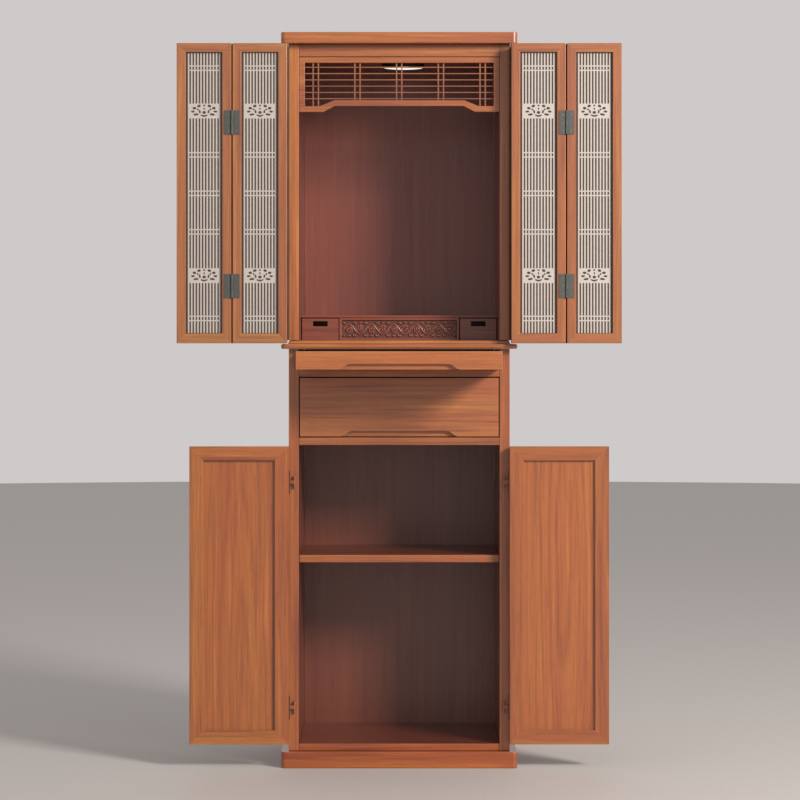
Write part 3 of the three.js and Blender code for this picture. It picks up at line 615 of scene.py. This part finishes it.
def scoop(piece, low, high, corner):
    """Cuts a round-ended recess of the given box out of a piece."""
    bpy.ops.object.select_all(action="DESELECT")
    bpy.ops.mesh.primitive_cube_add(size=1, location=(low + high) / 2)
    cutter = bpy.context.object
    cutter.scale = high - low
    bpy.ops.object.transform_apply(location=True, rotation=True, scale=True)
    eased(cutter, corner, 5)
    alone(piece)
    recess = piece.modifiers.new("recess", "BOOLEAN")
    recess.operation = "DIFFERENCE"
    recess.object = cutter
    bpy.ops.object.modifier_apply(modifier=recess.name)
    bpy.data.objects.remove(cutter)


EDGE_PULL_HALF = 0.060
EDGE_PULL_WIDTH = 0.010
EDGE_PULL_DEPTH = 0.007
EDGE_PULL_CORNER = 0.006
EDGE_PULL_OVERCUT = 0.02


def edge_pull(piece, low, high, outward, middle):
    """Carves a finger pull in the free edge of a leaf or door, on its outside."""
    free_edge = high.x if outward > 0 else low.x
    edges = sorted((free_edge + outward * EDGE_PULL_OVERCUT, free_edge - outward * EDGE_PULL_WIDTH))
    scoop(piece, Vector((edges[0], high.y - EDGE_PULL_DEPTH, middle - EDGE_PULL_HALF)),
          Vector((edges[1], high.y + EDGE_PULL_OVERCUT, middle + EDGE_PULL_HALF)), EDGE_PULL_CORNER)


FRAME_ARRIS = 0.0020
BEAD_ARRIS = 0.0014
BEAD_OFF_PANE = 0.0001
# Painted sheen: the leaf frames are turned paler, pinker and bluer, the left ones most, for the sky's
# reflection on their lacquer.
LEAF_PAINTED_SHEEN = {"left": (1.02, 1.26, 1.50), "right": (0.95, 1.03, 1.15)}
COVER_STRIP_ON_LEAF = 0.0060
COVER_STRIP_BEYOND = 0.0055
COVER_STRIP_RISE = 0.0014
COVER_STRIP_ARRIS = 0.0004
# Painted shadow: a near-black strip where the joint between the leaves lies in shade.
painted_joint_shadow = plain("painted_joint_shadow", (0.008, 0.004, 0.004), 0.9)
for leaf_side, outward in (("left", -1), ("right", 1)):
    for leaf_place in ("inner", "outer"):
        leaf_node = f"{leaf_place}_leaf_frame_{leaf_side}"
        leaf_low, leaf_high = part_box(leaf_node)
        pane_low, pane_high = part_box(f"{leaf_place}_leaf_glass_{leaf_side}")
        shift = (0.37 * len(leaf_node), 0.2, 0.5 if leaf_side == "left" else 1.9)
        upright = wood(leaf_node + "_upright", "Z", shift, LEAF_PAINTED_SHEEN[leaf_side])
        level = wood(leaf_node + "_level", "X", shift, LEAF_PAINTED_SHEEN[leaf_side])
        leaf_frame = mitred_ring(leaf_node + "_mitred", leaf_low, leaf_high, LEAF_MEMBER,
                                 LEAF_BOTTOM_MEMBER, upright, level)
        if leaf_place == "outer":
            edge_pull(leaf_frame, leaf_low, leaf_high, outward, (leaf_low.z + leaf_high.z) / 2)
        eased(leaf_frame, FRAME_ARRIS, 3)
        bead_low = Vector((leaf_low.x + LEAF_MEMBER, pane_high.y + BEAD_OFF_PANE,
                           leaf_low.z + LEAF_BOTTOM_MEMBER))
        bead_high = Vector((leaf_high.x - LEAF_MEMBER, pane_high.y + BEAD_RISE, leaf_high.z - LEAF_MEMBER))
        glazing_bead = mitred_ring("glazing_bead", bead_low, bead_high, BEAD_WIDTH, BEAD_WIDTH,
                                   upright, level)
        eased(glazing_bead, BEAD_ARRIS, 3)
        joined = [leaf_frame, glazing_bead]
        if leaf_place == "inner":
            joint_x = leaf_high.x if outward > 0 else leaf_low.x
            reach = sorted((joint_x - outward * COVER_STRIP_ON_LEAF,
                            joint_x + outward * COVER_STRIP_BEYOND))
            strip_low = Vector((reach[0], leaf_high.y, leaf_low.z))
            strip_high = Vector((reach[1], leaf_high.y + COVER_STRIP_RISE, leaf_high.z))
            cover_strip = member(strip_low, strip_high, (), painted_joint_shadow)
            eased(cover_strip, COVER_STRIP_ARRIS, 2)
            joined.append(cover_strip)
        alone(*joined)
        bpy.ops.object.join()
        carried_by(leaf_frame, leaf_node)

# The panes are float glass, darkened brown as painted shade, for the shade seen through them. A
# white lattice is printed on both faces, so that it shows with the leaves open and shut: fine
# upright lines, pairs of cross lines, and two plaques with a blossom, whose clear places are
# listed in millimetres with a turn in degrees.

# Painted shade: a dark brown tint and high cover for the shade seen through the panes.
GLASS_PAINTED_SHADE = (0.062, 0.030, 0.014)
GLASS_COVER = 0.82
PANE_ARRIS = 0.0004
LINE_COUNT = 11
LINE_PITCH = 0.0079
LINE_WIDTH = 0.0038
CROSS_WIDTH = 0.0030
CROSS_PAIR_GAP = 0.0112
CROSS_LEVELS = (0.3185, 0.0980, 0.0, -0.0980, -0.3185)
PLAQUE_LEVELS = (0.2095, -0.2095)
PLAQUE_HEIGHT = 0.0376
INK_THICKNESS = 0.00012
INK_TO_RIM = 0.001
INK_TO_BEAD = 0.0005
CROSS_OVER_UPRIGHT = 1.2 * INK_THICKNESS
BLOSSOM = (
    (0.0, -3.6, 9.0, 7.6, 0), (0.0, 14.2, 6.0, 4.0, 0), (0.0, 6.0, 3.6, 6.0, 0),
    (13.2, 12.8, 9.4, 6.8, -18), (24.6, 7.2, 9.6, 6.6, 6), (28.6, -1.4, 9.6, 5.4, -4),
    (20.6, -8.8, 13.4, 5.6, -8), (11.2, -1.6, 4.8, 9.4, -12), (16.0, 4.0, 4.8, 4.6, 30),
)
BOWL_HALF = 9.2
BOWL_STEPS = 6
BOWL_BOTTOM = -14.9
BOWL_BOTTOM_SWEEP = 0.120
BOWL_TOP = -10.5
BOWL_TOP_SWEEP = 0.080


def glass(name):
    """Glass darkened brown as painted shade, partly see-through, with a hard gloss."""
    material = plain(name, GLASS_PAINTED_SHADE, 0.03, 0.0, 20)
    shader = material.node_tree.nodes["Principled BSDF"]
    shader.inputs["Alpha"].default_value = GLASS_COVER
    shader.inputs["Specular IOR Level"].default_value = 0.8
    return material


def oval(x, z, wide, high, turn, count=16):
    """An oval outline, turned by degrees, in metres from millimetres."""
    c, s = math.cos(math.radians(turn)), math.sin(math.radians(turn))
    outline = []
    for k in range(count):
        angle = 2 * math.pi * k / count
        px, pz = wide / 2 * math.cos(angle), high / 2 * math.sin(angle)
        outline.append(((x + px * c - pz * s) / 1000, (z + px * s + pz * c) / 1000))
    return outline


def blossom(x, z):
    """The clear places of one blossom: petals, leaves and the bowl under them."""
    holes = []
    for px, pz, wide, high, turn in BLOSSOM:
        for mirror in ((1,) if px == 0 else (1, -1)):
            holes.append([(x + ox, z + oz) for ox, oz in oval(mirror * px, pz, wide, high, mirror * turn)])
    bowl = [(BOWL_HALF * t / BOWL_STEPS, BOWL_BOTTOM + BOWL_BOTTOM_SWEEP * t * t)
            for t in range(-BOWL_STEPS, BOWL_STEPS + 1)]
    bowl += [(BOWL_HALF * t / BOWL_STEPS, BOWL_TOP + BOWL_TOP_SWEEP * t * t)
             for t in range(BOWL_STEPS - 1, -BOWL_STEPS, -1)]
    holes.append([(x + px / 1000, z + pz / 1000) for px, pz in bowl])
    return holes


def printed(outlines, y):
    """White ink as a thin film, filled by the even-odd rule, at depth y."""
    curve = bpy.data.curves.new("ink", "CURVE")
    curve.dimensions = "2D"
    curve.fill_mode = "BOTH"
    curve.extrude = INK_THICKNESS / 2
    for outline in outlines:
        spline = curve.splines.new("POLY")
        spline.points.add(len(outline) - 1)
        for point, (x, z) in zip(spline.points, outline):
            point.co = (x, z, 0, 1)
        spline.use_cyclic_u = True
    film = bpy.data.objects.new("ink", curve)
    bpy.context.collection.objects.link(film)
    alone(film)
    bpy.ops.object.convert(target="MESH")
    film = bpy.context.object
    film.rotation_euler.x = math.pi / 2
    film.location.y = y
    bpy.ops.object.transform_apply(location=True, rotation=True, scale=True)
    return film


def strip(x0, x1, z0, z1):
    """A rectangle's outline."""
    return [(x0, z0), (x1, z0), (x1, z1), (x0, z1)]


ink = plain("white_ink", (0.47, 0.435, 0.40), 0.55)
for leaf_side in ("left", "right"):
    for leaf_place in ("inner", "outer"):
        pane_node = f"{leaf_place}_leaf_glass_{leaf_side}"
        pane_low, pane_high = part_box(pane_node)
        leaf_low, leaf_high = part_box(f"{leaf_place}_leaf_frame_{leaf_side}")
        pane = copy_of(pane_node, pane_node + "_pane")
        pane.data.materials.append(glass(pane_node + "_glass"))
        eased(pane, PANE_ARRIS, 1)
        carried_by(pane, pane_node)
        middle_x, middle_z = (leaf_low.x + leaf_high.x) / 2, (leaf_low.z + leaf_high.z) / 2
        half_band = (LINE_COUNT - 1) / 2 * LINE_PITCH + LINE_WIDTH / 2
        crosses, plaques, films = [], [], []
        for level in CROSS_LEVELS:
            for z in (middle_z + level - CROSS_PAIR_GAP / 2, middle_z + level + CROSS_PAIR_GAP / 2):
                crosses.append(strip(middle_x - half_band, middle_x + half_band, z - CROSS_WIDTH / 2,
                                     z + CROSS_WIDTH / 2))
        for level in PLAQUE_LEVELS:
            z = middle_z + level
            plaques.append(strip(middle_x - half_band, middle_x + half_band, z - PLAQUE_HEIGHT / 2,
                                 z + PLAQUE_HEIGHT / 2))
            plaques += blossom(middle_x, z)
        for face, away, short in ((pane_low.y, -1, INK_TO_RIM),
                                  (pane_high.y, 1, BEAD_WIDTH + INK_TO_BEAD)):
            stops = [leaf_low.z + LEAF_BOTTOM_MEMBER + short]
            for level in sorted(PLAQUE_LEVELS):
                stops += [middle_z + level - PLAQUE_HEIGHT / 2, middle_z + level + PLAQUE_HEIGHT / 2]
            stops.append(leaf_high.z - LEAF_MEMBER - short)
            uprights = []
            for number in range(LINE_COUNT):
                x = middle_x + (number - (LINE_COUNT - 1) / 2) * LINE_PITCH
                for below, above in zip(stops[0::2], stops[1::2]):
                    uprights.append(strip(x - LINE_WIDTH / 2, x + LINE_WIDTH / 2, below, above))
            surface = face + away * INK_THICKNESS
            films += [printed(uprights, surface), printed(crosses, surface + away * CROSS_OVER_UPRIGHT),
                      printed(plaques, surface)]
        alone(*films)
        bpy.ops.object.join()
        lattice = bpy.context.object
        lattice.name = pane_node + "_print"
        lattice.data.materials.clear()
        lattice.data.materials.append(ink)
        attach(lattice, frame["nodes"][pane_node]["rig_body"])

# The hinges are plated steel: long dark ones up the case sides, short ones that join each pair of
# leaves with three screws a plate, and small cranked ones on the lower doors, lacquered like the
# case side where they lie on it.

SCREW_RADIUS = 0.0026
SCREW_RISE = 0.0005
SCREW_ARRIS = 0.0003
SLOT_CORNER = 0.00005
SLOT_SHARES = ((1.2, 0.3), (0.3, 1.2))
SCREW_LEVELS = (0.16, 0.50, 0.84)
SCREW_FROM_EDGE = 0.010
PLATE_THICKNESS = 0.0015
PLATE_ARRIS = 0.0003
FOLD_PIN_X = 0.4255
DOOR_PLATE_STARTS = 0.2793
gunmetal = plain("gunmetal", (0.094, 0.100, 0.092), 0.52, 0.55)
bronze = plain("dark_bronze", (0.040, 0.022, 0.014), 0.62)
screw_steel = plain("screw_steel", (0.17, 0.17, 0.16), 0.42, 0.8)
stile_lacquer = wood("stile_lacquer", "Z", (0.4, 0.4, 0.2), (0.9, 0.85, 0.85), roughness=0.42, figure=0.5)


def screw(x, y, z):
    """A countersunk screw head with a cross slot, looking to -Y."""
    bpy.ops.object.select_all(action="DESELECT")
    bpy.ops.mesh.primitive_cylinder_add(vertices=20, radius=SCREW_RADIUS, depth=2 * SCREW_RISE,
                                        location=(x, y, z), rotation=(math.pi / 2, 0, 0))
    head = bpy.context.object
    bpy.ops.object.transform_apply(location=True, rotation=True, scale=True)
    eased(head, SCREW_ARRIS, 2)
    for wide, high in SLOT_SHARES:
        scoop(head, Vector((x - wide * SCREW_RADIUS / 2, y - 4 * SCREW_RISE, z - high * SCREW_RADIUS / 2)),
              Vector((x + wide * SCREW_RADIUS / 2, y - SCREW_RISE / 2, z + high * SCREW_RADIUS / 2)),
              SLOT_CORNER)
    head.data.materials.clear()
    head.data.materials.append(screw_steel)
    return head


first_screw = screw(0, 0, 0)
for hinge_node in sorted(frame["nodes"]):
    if "hinge" not in hinge_node:
        continue
    joins_leaves = "fold" in hinge_node
    half = copy_of(hinge_node, hinge_node + "_plated")
    half.data.materials.append(gunmetal if joins_leaves else bronze)
    if "door_hinge" in hinge_node:
        half.data.materials.append(stile_lacquer)
        for face in half.data.polygons:
            if abs(face.center.x) < DOOR_PLATE_STARTS:
                face.material_index = 1
    eased(half, PLATE_ARRIS, 1)
    if joins_leaves:
        low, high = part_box(hinge_node)
        plate_front = high.y - PLATE_THICKNESS
        plate_on_left = (low.x + high.x) / 2 < math.copysign(FOLD_PIN_X, low.x)
        screw_x = low.x + SCREW_FROM_EDGE if plate_on_left else high.x - SCREW_FROM_EDGE
        heads = []
        for share in SCREW_LEVELS:
            head = first_screw.copy()
            head.data = first_screw.data.copy()
            bpy.context.collection.objects.link(head)
            head.location = (screw_x, plate_front, low.z + share * (high.z - low.z))
            heads.append(head)
        alone(half, *heads)
        bpy.ops.object.join()
        bpy.ops.object.transform_apply(location=True, rotation=True, scale=True)
    carried_by(half, hinge_node)
bpy.data.objects.remove(first_screw)

# Each lower door is a mitred frame round a flat panel with a broad arched figure. The panel sits
# back from the frame's face, and a pull is carved in the free edge on the outside.

DOOR_MEMBER = 0.036
DOOR_PULL_BELOW_TOP = 0.260
ARCH_ASIDE = 0.012
ARCH_HALF_WIDTH = 0.09
ARCH_UP = {"left": 0.10, "right": 0.46}
DOOR_TONES = {"left": (1.05, 1.05, 0.90), "right": (0.93, 0.90, 0.76)}
for door_side, outward in (("left", -1), ("right", 1)):
    door_node = "door_frame_" + door_side
    panel_node = "door_panel_" + door_side
    door_low, door_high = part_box(door_node)
    shift = (0.3, 0.8, 0.6) if door_side == "left" else (2.3, 0.1, 3.6)
    door_frame = mitred_ring(door_node + "_mitred", door_low, door_high, DOOR_MEMBER, DOOR_MEMBER,
                             wood(door_node + "_upright", "Z", shift, DOOR_TONES[door_side]),
                             wood(door_node + "_level", "X", shift, DOOR_TONES[door_side]))
    edge_pull(door_frame, door_low, door_high, outward, door_high.z - DOOR_PULL_BELOW_TOP)
    eased(door_frame, FRAME_ARRIS, 3)
    carried_by(door_frame, door_node)
    panel_low, panel_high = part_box(panel_node)
    panel_centre = (panel_low + panel_high) / 2
    arch = ((panel_centre.x + ARCH_ASIDE, panel_low.z + ARCH_UP[door_side]), ARCH_HALF_WIDTH)
    panel_finish = wood(panel_node + "_wood", "Z", shift, (1.05, 1.02, 0.84), arch, figure=0.65)
    board(panel_node, panel_finish)

# The studio is a plain pale floor under an even sky, with one soft lamp at the front right. The
# camera is level and square to the cabinet, at the photograph's height and distance.

FLOOR_RADIUS = 14
bpy.ops.object.select_all(action="DESELECT")
bpy.ops.mesh.primitive_circle_add(vertices=96, radius=FLOOR_RADIUS, fill_type="NGON", location=(0, 0, 0))
floor = bpy.context.object
floor.name = "floor"
floor.data.materials.append(plain("floor_finish", (0.46, 0.435, 0.415), 0.55))

sky = bpy.data.worlds.new("studio")
bpy.context.scene.world = sky
sky.use_nodes = True
sky.node_tree.nodes["Background"].inputs["Color"].default_value = (0.86, 0.82, 0.82, 1)
sky.node_tree.nodes["Background"].inputs["Strength"].default_value = 0.72

KEY_AZIMUTH = math.radians(43)
KEY_ELEVATION = math.radians(23.5)
KEY_DISTANCE = 6.0
KEY_WIDTH = 1.3
KEY_POWER = 440
aim = Vector((0, 0, 0.95))
toward = Vector((math.sin(KEY_AZIMUTH) * math.cos(KEY_ELEVATION),
                 -math.cos(KEY_AZIMUTH) * math.cos(KEY_ELEVATION), math.sin(KEY_ELEVATION)))
key_data = bpy.data.lights.new("key", "AREA")
key_data.size = KEY_WIDTH
key_data.energy = KEY_POWER
key_data.color = (1.0, 0.94, 0.88)
key = bpy.data.objects.new("key", key_data)
key.location = aim + KEY_DISTANCE * toward
key.rotation_euler = (-toward).to_track_quat("-Z", "Y").to_euler()
bpy.context.collection.objects.link(key)

SENSOR_WIDTH = 36
FOCAL_SHARE = 2555 / 800
CAMERA_DISTANCE = 6.544
CAMERA_HEIGHT = 1.071
CAMERA_ASIDE = 0.002
HORIZON_ABOVE_CENTRE = 51 / 800
camera_data = bpy.data.cameras.new("camera")
camera_data.sensor_width = SENSOR_WIDTH
camera_data.lens = SENSOR_WIDTH * FOCAL_SHARE
camera_data.shift_y = -HORIZON_ABOVE_CENTRE
camera = bpy.data.objects.new("camera", camera_data)
case_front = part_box("lower_side_left")[0].y
camera.location = (CAMERA_ASIDE, case_front - CAMERA_DISTANCE, CAMERA_HEIGHT)
camera.rotation_euler = (math.pi / 2, 0, 0)
bpy.context.collection.objects.link(camera)
bpy.context.scene.camera = camera
bpy.context.scene.view_settings.view_transform = "Standard"
